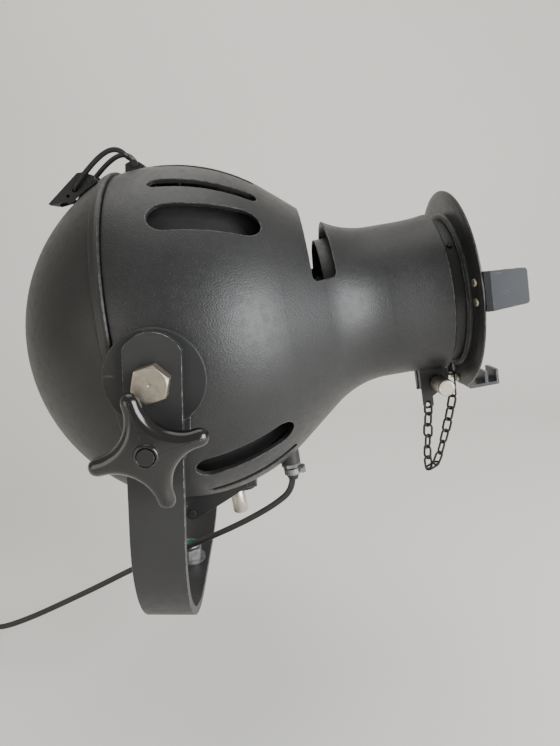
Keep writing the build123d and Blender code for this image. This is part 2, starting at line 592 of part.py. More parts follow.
# ---- safety chain ----
def link(length=LINK_L):
    """Oval link with its long axis on Z, lying in the XZ plane."""
    bend = LINK_W / 2 - CHAIN_WIRE
    straight = length / 2 - LINK_W / 2
    sides = [Pos(s * bend, 0, 0) * Cylinder(CHAIN_WIRE, 2 * straight) for s in (-1, 1)]
    ring = Rot(90, 0, 0) * Torus(bend, CHAIN_WIRE)
    top = Pos(0, 0, straight) * (ring & box((-9, 9), (-9, 9), (0, 9)))
    bottom = Pos(0, 0, -straight) * (ring & box((-9, 9), (-9, 9), (-9, 0)))
    return sides[0] + sides[1] + top + bottom


def chain():
    """Two strands that hang from the clamp's tab and from the lens tube's lug."""
    pitch = LINK_L - 4 * CHAIN_WIRE - 0.2
    half = LINK_L / 2 - CHAIN_WIRE
    sag = 0.4
    hole = at(LENS, TAB_HOLE[0], -8.6, TAB_HOLE[1])
    top = hole.Z - sag - half
    count = 5
    fixed = [Pos(hole.X, hole.Y, top - k * pitch) * Rot(0, 0, 90 + 90 * k) * link() for k in range(count)]
    add("chain_fixed_strand", *fixed)
    lug = at(LENS, LUG_HOLE[0], LUG_Y, LUG_HOLE[1])
    foot = Vector(hole.X + 5.2, lug.Y, top - (count - 1) * pitch - 5.0)
    clip_top = lug.Z - sag
    clip = Pos(lug.X, lug.Y, clip_top - CLIP_L / 2 + CHAIN_WIRE) * Rot(0, 0, 90) * link(CLIP_L)
    start = Vector(lug.X, lug.Y, clip_top - CLIP_L + 2 * CHAIN_WIRE)
    run = foot - start
    lean = degrees(atan2(-run.X, -run.Z))
    steps = round((run.length - LINK_L / 2) / pitch)
    down = run.normalized()
    swing = [clip]
    for k in range(steps):
        p = start + down * (half - 2 * CHAIN_WIRE - 0.1 + k * pitch)
        swing.append(Pos(*p) * Rot(0, lean, 0) * Rot(0, 0, 90 * (k % 2)) * link())
    add("chain_moving_strand", *swing)
    print("chain pivots", tuple(round(v, 2) for v in hole), tuple(round(v, 2) for v in lug), "links", steps)


# ---- cord grip, flex, coil and plug ----
def cord_grip():
    """Spigot, lock nut and clamping band that hold the flex under the casing."""
    x, y = GLAND_X, GLAND_Y
    nut_end, grip_end, sleeve_end = GLAND_Z
    body = rod_z(GRIP_R, grip_end, nut_end - 0.1, x=x, y=y) + rod_z(GLAND_BORE, nut_end - 0.2, -104, x=x, y=y)
    body -= rod_z(FLEX_HOLE, -140, -100, x=x, y=y)
    add("cord_grip", AXIS * body)
    top = GLAND_SEAT - 0.1
    flats = RegularPolygon(GLAND_NUT_AF / 2, 6, major_radius=False)
    hexagon = Pos(x, y, nut_end) * extrude(flats, top - nut_end)
    nut = hexagon - rod_z(GLAND_BORE + FIT, -130, -100, x=x, y=y)
    add("cord_grip_nut", AXIS * nut)
    low, high = nut_end - 6.6, nut_end - 1.4
    ring = GRIP_R + FIT
    ear_x = (x + ring + 0.4, x + ring + 5.6)
    band = rod_z(ring + 1.2, low, high, x=x, y=y) - rod_z(ring, -140, -100, x=x, y=y)
    band -= box((x + 3, x + 14), (y - 1.1, y + 1.1), (-140, -110))
    for lo, hi in ((y - 2.6, y - 1.1), (y + 1.1, y + 2.6)):
        band += box(ear_x, (lo, hi), (low, high))
    pin_x, pin_z = x + ring + 3.2, (low + high) / 2
    band -= rod_y(1.3, y - 9, y + 9, x=pin_x, z=pin_z)
    add("cord_grip_band", AXIS * band)
    pin = rod_y(1.25, y - 4, y + 5.5, x=pin_x, z=pin_z) + rod_y(2.2, y - 4.6, y - 2.65, x=pin_x, z=pin_z)
    pin += rod_y(2.3, y + 2.65, y + 4.8, x=pin_x, z=pin_z)
    add("cord_grip_screw", AXIS * pin)
    sleeve = turned_z([(FLEX_HOLE + 0.8, sleeve_end), (FLEX_HOLE + 1.1, sleeve_end),
                       (GRIP_R - 0.6, grip_end - 0.1), (FLEX_HOLE, grip_end - 0.1)], 0)
    add("flex_sleeve", AXIS * Pos(x, y, 0) * sleeve)
    block = box((40, 56), (-42, -14), (-92, -80))
    for by in (-35, -21):
        block -= rod_x(2.2, 30, 70, y=by, z=-85)
    foot = box((44, 52), (-34, -22), (-112, -92)) & Sphere(BODY_R - WALL)
    add("terminal_block", AXIS * (block + foot))


def soft_route(points):
    """Smooth wire through a list of corners: straight runs joined by tangent arcs."""
    corners = [Vector(*p) for p in points]
    edges, here, radii = [], corners[0], []
    for a, b, c in zip(corners, corners[1:], corners[2:]):
        d0, d1 = (b - a).normalized(), (c - b).normalized()
        half = radians(d0.get_angle(d1)) / 2
        trim = 0.45 * min((b - a).length, (c - b).length)
        bend = trim / tan(half)
        p, q = b - d0 * trim, b + d1 * trim
        top = b + (d1 - d0).normalized() * (bend / cos(half) - bend)
        edges += [Line(here, p), ThreePointArc(p, top, q)]
        here = q
        radii.append(round(bend, 1))
    edges.append(Line(here, corners[-1]))
    return Wire(edges), radii


def round_lead(points):
    path, radii = soft_route(points)
    section = Plane(origin=path @ 0, z_dir=path % 0) * Circle(FLEX_W / 2)
    tube = sweep(section, path=path)
    print("lead", round(path.length, 1), "bends", radii, "volume", round(tube.volume),
          "expected", round(path.length * pi * FLEX_W**2 / 4))
    return tube, path.length


def flex():
    """Mains flex: the hanging run, the coil put away beside the stand, its tie and its plug."""
    lead, lead_l = round_lead(FLEX_ROUTE)
    tail, tail_l = round_lead(TAIL_ROUTE)
    add("flex_lead", lead)
    add("flex_tail", tail)
    ring_in, ring_out = COIL_R - FLEX_W, COIL_R + FLEX_W
    outline = [(ring_in, COIL_Z[0]), (ring_out, COIL_Z[0]), (ring_out, COIL_Z[1]), (ring_in, COIL_Z[1])]
    coil = Pos(0, COIL_AT[1], 0) * turned_z(outline, COIL_AT[0]) - lead - tail
    add("flex_coil", coil)
    turns = (FLEX_LENGTH - lead_l - tail_l) / (2 * pi * COIL_R)
    print("coil turns", round(turns, 2))
    tie = box((ring_in - 1.0, ring_out + 1.0), (-3, 3), (FLOOR_Z, COIL_Z[1] + 0.8))
    tie -= box((ring_in - 0.2, ring_out + 0.2), (-4, 4), (FLOOR_Z + 0.7, COIL_Z[1] + 0.1))
    add("flex_tie", Pos(COIL_AT[0], COIL_AT[1], 0) * Rot(0, 0, -60) * tie)
    px = TAIL_ROUTE[-1][0]
    body = box((px - 9, px + 9), (-84, -50), (FLOOR_Z, FLOOR_Z + 14))
    body = softened(body, 4.0, body.edges().filter_by(Axis.Y))
    body -= rod_y(FLEX_W / 2 + 0.1, -60, -40, x=px, z=-85)
    add("plug_body", body)
    pins = [rod_y(2.0, -102, -84.1, x=px + s * 5.5, z=-85) for s in (-1, 1)]
    add("plug_pins", *pins)


# ---- build ----
add("yoke", yoke())
mount_nut()
pivot_parts()
clamp_parts()
add("front_casing", AXIS * front_casing())
add("light_baffles", *[AXIS * strip for strip in light_baffles()])
add("rear_cover", AXIS * rear_cover())
plates, pin = cover_hinge()
add("cover_hinge_plates", *[AXIS * plate for plate in plates])
add("cover_hinge_pin", AXIS * pin)
latch()
optics()
lens_group()
lens_clamp()
chain()
cord_grip()
flex()

for name, shape in NODES.items():
    export_step(shape, f"parts/{name}.step")
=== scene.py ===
import json
from math import atan2, cos, floor, hypot, pi, radians, sin, sqrt, tan

import bmesh
import bpy
from mathutils import Matrix, Vector

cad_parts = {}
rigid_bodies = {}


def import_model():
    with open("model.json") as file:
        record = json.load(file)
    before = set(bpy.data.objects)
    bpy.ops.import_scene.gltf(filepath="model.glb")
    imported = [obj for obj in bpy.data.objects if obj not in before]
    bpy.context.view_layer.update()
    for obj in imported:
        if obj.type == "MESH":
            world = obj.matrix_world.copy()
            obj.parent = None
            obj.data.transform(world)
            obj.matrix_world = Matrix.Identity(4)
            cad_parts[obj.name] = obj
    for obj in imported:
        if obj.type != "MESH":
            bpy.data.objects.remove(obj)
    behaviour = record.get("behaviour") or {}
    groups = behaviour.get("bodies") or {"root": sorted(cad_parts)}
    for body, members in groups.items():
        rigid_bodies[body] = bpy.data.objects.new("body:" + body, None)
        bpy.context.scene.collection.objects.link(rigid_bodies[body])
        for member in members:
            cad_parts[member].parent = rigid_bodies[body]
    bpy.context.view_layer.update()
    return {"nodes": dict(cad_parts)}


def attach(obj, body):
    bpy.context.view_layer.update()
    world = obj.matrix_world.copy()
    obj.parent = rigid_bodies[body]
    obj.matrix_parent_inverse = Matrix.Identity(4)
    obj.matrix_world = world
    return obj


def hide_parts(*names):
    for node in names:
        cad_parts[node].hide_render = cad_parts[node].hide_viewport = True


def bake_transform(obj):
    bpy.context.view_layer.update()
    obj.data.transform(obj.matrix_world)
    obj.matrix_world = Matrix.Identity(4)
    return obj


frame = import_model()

# Theatre profile spotlight on its yoke. Metres, in the frame of the CAD model: the origin is the hole
# in the yoke's foot, +X is the way the snout points, +Z is up and -Y is the side of the locking knob.

MM = 0.001
HEAD_TILT = radians(10.6)
AXIS_RISE = 3.5 * MM
LENS_TURN = radians(-4.0)
PIVOT = Vector((0, 0, 0.213))
HEAD = Matrix.Translation(PIVOT) @ Matrix.Rotation(-HEAD_TILT, 4, "Y")
AXIS = HEAD @ Matrix.Translation((0, 0, AXIS_RISE))         # X on the optical axis
LENS = AXIS @ Matrix.Rotation(LENS_TURN, 4, "X")            # turned with the lens tube
FLOOR_Z = -92.1 * MM
CAMERA_AT = (0.0659, -0.4787, 0.2972)
CAMERA_FORWARD = Vector((0.02836, 0.97268, -0.23039))
CAMERA_UP = Vector((-0.01435, 0.23086, 0.97288))
SENSOR_HEIGHT, FOCAL_LENGTH = 36.0, 27.46


# ---- camera, floor and light ----
def camera():
    data = bpy.data.cameras.new("camera")
    data.sensor_fit = "VERTICAL"
    data.sensor_height = SENSOR_HEIGHT
    data.lens = FOCAL_LENGTH
    data.clip_start = 0.02
    view = bpy.data.objects.new("camera", data)
    bpy.context.scene.collection.objects.link(view)
    right = CAMERA_FORWARD.cross(CAMERA_UP).normalized()
    turn = Matrix((right, CAMERA_UP, -CAMERA_FORWARD)).transposed().to_4x4()
    view.matrix_world = Matrix.Translation(CAMERA_AT) @ turn
    bpy.context.scene.camera = view


def area_light(name, place, aim, size, power, colour):
    data = bpy.data.lights.new(name, "AREA")
    data.shape = "RECTANGLE"
    data.size, data.size_y = size
    data.energy = power
    data.color = colour
    lamp = bpy.data.objects.new(name, data)
    bpy.context.scene.collection.objects.link(lamp)
    lamp.location = place
    lamp.rotation_euler = (Vector(aim) - Vector(place)).to_track_quat("-Z", "Y").to_euler()


def stage():
    """Pale floor that sweeps up into a pale wall, and soft light from the right and above."""
    bend, back, top, half = 0.7, 1.5, 4.0, 5.0
    profile = [(-4.0, FLOOR_Z), (back - bend, FLOOR_Z)]
    for k in range(1, 13):
        a = radians(90 * k / 12)
        profile.append((back - bend + bend * sin(a), FLOOR_Z + bend - bend * cos(a)))
    profile.append((back, top))
    mesh = bpy.data.meshes.new("backdrop")
    verts = [(x, y, z) for x in (-half, half) for y, z in profile]
    n = len(profile)
    faces = [(i, i + 1, n + i + 1, n + i) for i in range(n - 1)]
    mesh.from_pydata(verts, [], faces)
    sheet = bpy.data.objects.new("backdrop", mesh)
    bpy.context.scene.collection.objects.link(sheet)
    for face in mesh.polygons:
        face.use_smooth = True
    sheet.data.materials.append(backdrop_paper())
    area_light("window", (1.32, -1.0, 0.64), (0.1, 0, 0.24), (1.1, 1.15), 48, (0.97, 0.985, 1.0))
    area_light("ceiling", (-0.3, 0.5, 1.9), (-0.1, 0.6, 0.1), (1.8, 1.4), 13, (1.0, 0.99, 0.97))
    area_light("room", (-1.3, -1.3, 0.3), (0, 0, 0.2), (1.2, 1.2), 9, (1.0, 0.97, 0.9))
    world = bpy.data.worlds.new("room")
    world.use_nodes = True
    world.node_tree.nodes["Background"].inputs["Color"].default_value = (0.86, 0.85, 0.82, 1)
    world.node_tree.nodes["Background"].inputs["Strength"].default_value = 0.5
    bpy.context.scene.world = world


# ---- materials ----
class Nodes:
    """Small helper that adds linked nodes to one material."""

    def __init__(self, name):
        self.material = bpy.data.materials.new(name)
        self.material.use_nodes = True
        self.tree = self.material.node_tree
        self.shader = self.tree.nodes["Principled BSDF"]
        self.place = self.add("ShaderNodeTexCoord").outputs["Object"]

    def add(self, kind, **inputs):
        node = self.tree.nodes.new(kind)
        for key, value in inputs.items():
            self.put(node.inputs[key.replace("_", " ")], value)
        return node

    def put(self, socket, value):
        if isinstance(value, bpy.types.NodeSocket):
            self.tree.links.new(value, socket)
        else:
            socket.default_value = value

    def noise(self, scale, detail=2.0, roughness=0.5, place=None):
        return self.add("ShaderNodeTexNoise", Vector=place or self.place, Scale=scale, Detail=detail,
                        Roughness=roughness).outputs["Fac"]

    def scratches(self, along, across):
        """A few fine marks in two directions, 1 on a mark and 0 elsewhere."""
        marks = []
        for tilt in (0.5, -0.9):
            turned = self.add("ShaderNodeMapping", Vector=self.place, Rotation=(0.0, tilt, 0.0),
                              Scale=(along, across, across)).outputs[0]
            marks.append(self.spread(self.noise(1.0, 2, 0.5, turned), 0.68, 0.72))
        patches = self.spread(self.noise(45, 2, 0.5), 0.5, 0.6)
        return self.math(self.math(*marks, "MAXIMUM"), patches, "MULTIPLY")

    def spread(self, value, low, high, to_low=0.0, to_high=1.0):
        node = self.add("ShaderNodeMapRange", Value=value)
        for socket, number in zip(node.inputs[1:5], (low, high, to_low, to_high)):
            socket.default_value = number
        return node.outputs[0]

    def mix(self, factor, a, b):
        node = self.add("ShaderNodeMix")
        node.data_type = "RGBA"
        self.put(node.inputs[0], factor)
        self.put(node.inputs[6], a)
        self.put(node.inputs[7], b)
        return node.outputs[2]

    def math(self, a, b, operation="ADD"):
        node = self.add("ShaderNodeMath")
        node.operation = operation
        self.put(node.inputs[0], a)
        self.put(node.inputs[1], b)
        return node.outputs[0]

    def edges(self, radius, low=0.012, high=0.1):
        """1 on the sharp edges of a piece, 0 on its faces, and the rounded normal."""
        bevel = self.add("ShaderNodeBevel", Radius=radius)
        bevel.samples = 4
        normal = self.add("ShaderNodeNewGeometry").outputs["Normal"]
        dot = self.add("ShaderNodeVectorMath")
        dot.operation = "DOT_PRODUCT"
        self.put(dot.inputs[0], bevel.outputs[0])
        self.put(dot.inputs[1], normal)
        off = self.math(1.0, dot.outputs["Value"], "SUBTRACT")
        return self.spread(off, low, high), bevel.outputs[0]

    def bump(self, height, strength, distance, normal=None):
        node = self.add("ShaderNodeBump", Height=height, Strength=strength, Distance=distance)
        if normal is not None:
            self.put(node.inputs["Normal"], normal)
        return node.outputs[0]

    def finish(self, **inputs):
        for key, value in inputs.items():
            self.put(self.shader.inputs[key.replace("_", " ")], value)
        return self.material


def colour(r, g, b):
    return (r, g, b, 1.0)


def backdrop_paper():
    n = Nodes("backdrop_paper")
    return n.finish(Base_Color=colour(0.79, 0.775, 0.74), Roughness=0.9, Specular_IOR_Level=0.2)


def painted(name, dark, light, roughness, grain, depth, wear=0.0, edge=0.0007, painted_glint=0.0, shine=0.38,
            marks=0.0):
    """Paint or enamel: mottled, finely grained, with bare metal showing where edges have rubbed and lighter
    specks painted in as glints.
    """
    n = Nodes(name)
    cloud = n.spread(n.noise(14, 4, 0.6), 0.35, 0.68)
    rub = n.spread(n.noise(160, 3, 0.6), 0.45, 0.75)
    base = n.mix(cloud, dark, light)
    pits = n.noise(grain, 2, 0.6)
    on_edge, rounded = n.edges(edge)
    scuff = n.math(on_edge, n.spread(n.noise(260, 4, 0.7), 0.42, 0.6), "MULTIPLY")
    base = n.mix(n.math(scuff, wear, "MULTIPLY"), base, colour(0.45, 0.44, 0.42))
    # painted glints: sparse lighter grey specks in the base colour stand in for light sparkling off the
    # crinkled enamel
    glint_specks = n.spread(n.noise(grain * 1.7, 1, 0.5), 0.66, 0.74)
    base = n.mix(n.math(glint_specks, painted_glint, "MULTIPLY"), base, colour(0.3, 0.3, 0.3))
    if marks:
        base = n.mix(n.math(n.scratches(90, 1100), marks, "MULTIPLY"), base, colour(0.16, 0.16, 0.155))
    rough = n.math(n.spread(rub, 0, 1, -0.04, 0.05), n.spread(cloud, 0, 1, roughness, roughness + 0.06))
    normal = n.bump(pits, 0.6, depth, rounded)
    return n.finish(Base_Color=base, Roughness=rough, Normal=normal, Specular_IOR_Level=shine)


def bare_metal(name, clean, stained, roughness, stain=0.5, grain=900.0, edge=0.0004):
    """Plated or bare steel with stains and fine handling marks."""
    n = Nodes(name)
    blot = n.spread(n.noise(150, 5, 0.65), 0.5 - 0.25 * stain, 0.78 - 0.2 * stain)
    fine = n.noise(grain, 3, 0.7)
    base = n.mix(blot, clean, stained)
    rough = n.math(n.spread(fine, 0.3, 0.7, -0.05, 0.08), n.spread(blot, 0, 1, roughness, roughness + 0.2))
    normal = n.bump(fine, 0.25, 0.00003, n.edges(edge)[1])
    return n.finish(Base_Color=base, Metallic=0.92, Roughness=rough, Normal=normal)


def moulded(name, dark, tint, roughness, coat=0.0, grain=500.0, depth=0.00002):
    """Moulded plastic or bakelite, clouded and lightly scratched."""
    n = Nodes(name)
    cloud = n.spread(n.noise(60, 4, 0.6), 0.42, 0.72)
    dust = n.spread(n.noise(700, 4, 0.75), 0.55, 0.75)
    base = n.mix(cloud, dark, tint)
    rough = n.spread(dust, 0, 1, roughness, roughness + 0.18)
    normal = n.bump(n.noise(grain, 3, 0.6), 0.3, depth, n.edges(0.0005)[1])
    return n.finish(Base_Color=base, Roughness=rough, Normal=normal, Coat_Weight=coat, Coat_Roughness=0.12)


def clear_glass(name, tint, roughness=0.02):
    n = Nodes(name)
    rough = n.spread(n.noise(40, 3, 0.6), 0.4, 0.8, roughness, roughness + 0.06)
    return n.finish(Base_Color=tint, Roughness=rough, Transmission_Weight=1.0, IOR=1.5)


def mirror_metal():
    n = Nodes("spun_mirror")
    rings = n.noise(300, 2, 0.5)
    rough = n.spread(rings, 0.3, 0.7, 0.08, 0.2)
    return n.finish(Base_Color=colour(0.86, 0.86, 0.87), Metallic=1.0, Roughness=rough)


def make_materials():
    return {
        "casing": painted("casing_enamel", colour(0.014, 0.0142, 0.0147), colour(0.021, 0.0212, 0.0216),
                          0.41, 850, 0.0003, wear=0.3, edge=0.0014, painted_glint=0.14, shine=0.5),
        "cover": painted("cover_enamel", colour(0.0175, 0.0178, 0.0165), colour(0.026, 0.0262, 0.0245),
                         0.42, 950, 0.00025, wear=0.35, edge=0.0008, painted_glint=0.05, shine=0.42),
        "yoke": painted("yoke_paint", colour(0.019, 0.0192, 0.0195), colour(0.026, 0.0262, 0.0265),
                        0.44, 1500, 0.00006, wear=1.0, edge=0.0006, shine=0.4),
        "disc": painted("disc_paint", colour(0.016, 0.0165, 0.017), colour(0.023, 0.0235, 0.024),
                        0.46, 1300, 0.00008, wear=1.0, edge=0.0006, shine=0.4, marks=0.3),
        "tube": painted("lens_tube_paint", colour(0.014, 0.0143, 0.015), colour(0.021, 0.0213, 0.022),
                        0.4, 1500, 0.00005, wear=0.7, edge=0.0005, shine=0.5),
        "runner": painted("runner_paint", colour(0.021, 0.0235, 0.029), colour(0.03, 0.033, 0.04),
                          0.36, 1300, 0.00005, wear=1.0, edge=0.0005, shine=0.45, marks=0.9),
        "steel": painted("blacked_steel", colour(0.012, 0.012, 0.0125), colour(0.021, 0.021, 0.021),
                         0.4, 1800, 0.00005, wear=0.7, edge=0.0003),
        "baffle": painted("baffle_paint", colour(0.02, 0.019, 0.02), colour(0.034, 0.033, 0.034),
                          0.6, 900, 0.0003, wear=0.0, edge=0.0003, shine=0.25),
        "chain": painted("chain_steel", colour(0.008, 0.0075, 0.007), colour(0.028, 0.025, 0.022),
                         0.45, 1800, 0.00004, wear=0.3, edge=0.0002),
        "bolt": bare_metal("worn_nickel", colour(0.42, 0.385, 0.325), colour(0.3, 0.25, 0.19), 0.36, 0.5),
        "nickel": bare_metal("pale_nickel", colour(0.66, 0.62, 0.54), colour(0.42, 0.36, 0.28), 0.3, 0.4),
        "zinc": bare_metal("dull_zinc", colour(0.34, 0.345, 0.35), colour(0.17, 0.17, 0.17), 0.34, 0.7),
        "screw": bare_metal("screw_nickel", colour(0.5, 0.47, 0.38), colour(0.26, 0.22, 0.15), 0.38, 0.6),
        "brass": bare_metal("brass", colour(0.72, 0.54, 0.25), colour(0.4, 0.28, 0.12), 0.3, 0.4),
        "knob": moulded("black_bakelite", colour(0.004, 0.0037, 0.0036), colour(0.009, 0.006, 0.0056),
                        0.18, 0.45),
        "nylon": moulded("green_nylon", colour(0.02, 0.14, 0.095), colour(0.03, 0.19, 0.13), 0.4),
        "porcelain": moulded("porcelain", colour(0.76, 0.74, 0.67), colour(0.68, 0.65, 0.57), 0.2, 0.5),
        "flex": moulded("flex_sheath", colour(0.011, 0.011, 0.0105), colour(0.018, 0.0175, 0.017), 0.4),
        "plug": moulded("plug_plastic", colour(0.014, 0.014, 0.014), colour(0.022, 0.022, 0.022), 0.38),
        "lens": clear_glass("lens_glass", colour(0.93, 0.96, 0.95)),
        "bulb": clear_glass("lamp_glass", colour(0.98, 0.98, 0.97), 0.04),
        "mirror": mirror_metal(),
    }


CAD_LOOKS = {
    "casing": ["front_casing"],
    "cover": ["rear_cover"],
    "yoke": ["yoke"],
    "disc": ["friction_disc_near", "friction_disc_far", "clamp_plate"],
    "tube": ["lens_tube", "brim"],
    "runner": ["colour_runner_near", "colour_runner_bottom", "colour_runner_far"],
    "baffle": ["light_baffles"],
    "steel": ["cover_hinge_plates", "latch_keeper", "keeper_bolt", "reflector_carrier",
              "lamp_tray", "gate_plate", "gate_runners", "clamp_ear_near", "clamp_ear_far", "cord_grip",
              "cover_hinge_pin", "latch_base", "latch_pivot_pin", "latch_lever", "latch_loop", "chain_lug",
              "tube_rivet", "lens_retaining_rings", "knob_stud"],
    "chain": ["chain_fixed_strand", "chain_moving_strand"],
    "zinc": ["clamp_nut", "cord_grip_nut", "cord_grip_band", "cord_grip_screw",
             "mount_washer"],
    "screw": ["runner_screws"],
    "brass": ["lamp_cap", "plug_pins"],
    "porcelain": ["lampholder", "terminal_block"],
    "flex": ["flex_sleeve"],
    "plug": ["plug_body", "flex_tie"],
    "lens": ["lens"],
    "bulb": ["lamp_bulb"],
    "mirror": ["reflector"],
}


def paint_cad(looks):
    for look, names in CAD_LOOKS.items():
        for name in names:
            node = frame["nodes"][name]
            for part in [node, *node.children_recursive]:
                if part.type != "MESH":
                    continue
                if not part.material_slots:
                    part.data.materials.append(looks[look])
                for holder in part.material_slots:
                    holder.material = looks[look]


# ---- mesh helpers ----
def piece(name, mesh, material, body, matrix=None, smooth=True):
    """Puts a mesh in the scene, riding on a body."""
    shape = bpy.data.objects.new(name, mesh)
    bpy.context.scene.collection.objects.link(shape)
    if matrix is not None:
        mesh.transform(matrix)
    mesh.materials.append(material)
    for face in mesh.polygons:
        face.use_smooth = smooth
    if body is not None:
        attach(shape, body)
    return shape


def rings_mesh(name, rings, cap_start=True, cap_end=True):
    """Mesh through a list of closed rings that all have the same number of points."""
    n = len(rings[0])
    verts = [p for ring in rings for p in ring]
    faces = []
    for i in range(len(rings) - 1):
        for j in range(n):
            k = (j + 1) % n
            faces.append((i * n + j, i * n + k, (i + 1) * n + k, (i + 1) * n + j))
    if cap_start:
        faces.append(tuple(reversed(range(n))))
    if cap_end:
        faces.append(tuple(range((len(rings) - 1) * n, len(rings) * n)))
    mesh = bpy.data.meshes.new(name)
    mesh.from_pydata(verts, [], faces)
    mesh.validate()
    work = bmesh.new()
    work.from_mesh(mesh)
    bmesh.ops.recalc_face_normals(work, faces=work.faces)
    work.to_mesh(mesh)
    work.free()
    return mesh


def lathe_rings(points, count=64, ripple=None):
    """Rings about the local Z axis from (radius, height) pairs in millimetres."""
    rings = []
    for r, h in points:
        ring = []
        for k in range(count):
            a = 2 * pi * k / count
            rr = r + (ripple(a, r, h) if ripple else 0.0)
            ring.append((rr * cos(a) * MM, rr * sin(a) * MM, h * MM))
        rings.append(ring)
    return rings


def sharpen(shape, angle=32):
    """Keeps hard edges hard on a smooth-shaded piece."""
    work = bmesh.new()
    work.from_mesh(shape.data)
    for edge in work.edges:
        if len(edge.link_faces) == 2 and edge.calc_face_angle(0) > radians(angle):
            edge.smooth = False
    work.to_mesh(shape.data)
    work.free()


def pointing(origin, along, spin=0.0):
    """Matrix that puts local Z along a direction at a point."""
    turn = Vector(along).to_track_quat("Z", "Y").to_matrix().to_4x4()
    return Matrix.Translation(origin) @ turn @ Matrix.Rotation(spin, 4, "Z")


def hexagon_rings(across, height, base=0.0, chamfer=28, hollow=0.0, count=96):
    """Hexagonal head or nut with a turned chamfer on top; hollow is the bore's radius."""
    half = across / 2
    flat = half * 0.96

    def hexa(k):
        a = 2 * pi * k / count
        near = (a + pi / 6) % (pi / 3) - pi / 6
        return half / cos(near), a

    def ring(radius, h):
        return [(radius * cos(2 * pi * k / count) * MM, radius * sin(2 * pi * k / count) * MM, h * MM)
                for k in range(count)]
    side = []
    for bottom in (True, False):
        points = []
        for k in range(count):
            r, a = hexa(k)
            h = base if bottom else base + height - (r - flat) * tan(radians(chamfer))
            points.append((r * cos(a) * MM, r * sin(a) * MM, h * MM))
        side.append(points)
    top = base + height
    inner = [ring(flat, top)]
    if hollow:
        inner += [ring(hollow + 0.6, top), ring(hollow, top - 0.6), ring(hollow, base)]
    else:
        inner += [ring(flat * 0.55, top + 0.05), ring(1.2, top + 0.05), ring(0.9, top - 0.35),
                  ring(0.2, top - 0.5)]
    rings = [*side, *inner]
    if hollow:
        rings.append(side[0])
    return rings


# ---- pivot bolts, mounting nut ----
BOLT_FLATS, BOLT_HEAD = 20.8, 9.0                      # across the flats, and the head's height
BOLT_SEAT = 150.8                                      # from the middle of the lantern to the head
SHANK_R, SHANK_LENGTH = 6.33, 24.6
SPINS = {"near": -10, "far": 40}                       # how far round each head was left, in degrees
NUT_FLATS, NUT_HEIGHT, NUT_SEAT, MOUNT_R = 19.0, 9.8, 8.1, 6.5


def pivot_bolts(looks):
    for side, name in ((-1, "near"), (1, "far")):
        rings = hexagon_rings(BOLT_FLATS, BOLT_HEAD)
        mesh = rings_mesh(f"pivot_bolt_head_{name}", rings)
        base = HEAD @ Vector((0, side * BOLT_SEAT * MM, 0))
        spin = radians(SPINS[name])
        shape = piece(f"pivot_bolt_head_{name}", mesh, looks["bolt"], "head",
                      pointing(base, (0, side, 0), spin))
        sharpen(shape, 20)
        shank = lathe_rings([(SHANK_R, -SHANK_LENGTH), (SHANK_R, 0.2)], 48)
        shank_shape = piece(f"pivot_bolt_shank_{name}", rings_mesh(f"pivot_bolt_shank_{name}", shank),
                            looks["bolt"], "head", pointing(base, (0, side, 0)))
        sharpen(shank_shape)
        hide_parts(f"pivot_bolt_{name}")


def mount_nut(looks):
    """Nylon-insert lock nut on the inside of the yoke's foot."""
    rings = hexagon_rings(NUT_FLATS, NUT_HEIGHT, NUT_SEAT, hollow=MOUNT_R)
    nut = piece("lock_nut", rings_mesh("lock_nut", rings, False, False), looks["zinc"], "yoke")
    sharpen(nut, 20)
    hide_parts("mount_lock_nut")
    profile = [(7.7, 18.2), (8.55, 18.2), (8.5, 20.2), (8.1, 20.9), (7.7, 21.05), (7.5, 20.7), (7.5, 18.3)]
    collar = piece("lock_nut_collar", rings_mesh("lock_nut_collar", lathe_rings(profile), False, False),
                   looks["zinc"], "yoke")
    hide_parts("mount_nut_nylon_collar")
    profile = [(MOUNT_R, 18.0), (7.45, 18.0), (7.45, 20.3), (7.1, 20.6), (6.6, 20.5), (MOUNT_R, 20.2),
               (MOUNT_R, 18.0)]
    piece("nylon_insert", rings_mesh("nylon_insert", lathe_rings(profile), False, False),
          looks["nylon"], "yoke")


# ---- locking knob ----
KNOB_AT = Vector((0, -162.0 * MM, 175.4 * MM))
KNOB_TURN = 18.0
KNOB_EDGE = 5.4                        # radius of the rounded sides
KNOB_WIDEST, KNOB_CREST, KNOB_FALL = 5.6, 14.0, 3.4    # widest line, hub's crest, and its drop at the tips
TIP_AT, TIP_R = 31.2, 5.6              # centre and radius of each rounded tip
VALLEY_AT, VALLEY_R = 42.5, 24.47      # centre and radius of each hollow between two arms


def knob_outline(count=144):
    """(x, y, normal x, normal y) around a four-armed star with hollow sides."""
    points = []
    for k in range(count):
        a = 2 * pi * k / count
        arm = (a + pi / 4) % (pi / 2) - pi / 4
        low, high = 0.0, TIP_AT + TIP_R
        for _ in range(40):
            r = (low + high) / 2
            x, y = r * cos(abs(arm)), r * sin(abs(arm))
            d = VALLEY_AT / sqrt(2)
            in_valley = hypot(x - d, y - d) < VALLEY_R
            past_tip = x > TIP_AT and hypot(x - TIP_AT, y) > TIP_R
            if in_valley or past_tip:
                high = r
            else:
                low = r
        points.append((low, a))
    flat = [(r * cos(a), r * sin(a)) for r, a in points]
    outline = []
    for k, (x, y) in enumerate(flat):
        (xa, ya), (xb, yb) = flat[k - 1], flat[(k + 1) % count]
        tx, ty = xb - xa, yb - ya
        size = hypot(tx, ty)
        outline.append((x, y, ty / size, -tx / size))
    return outline


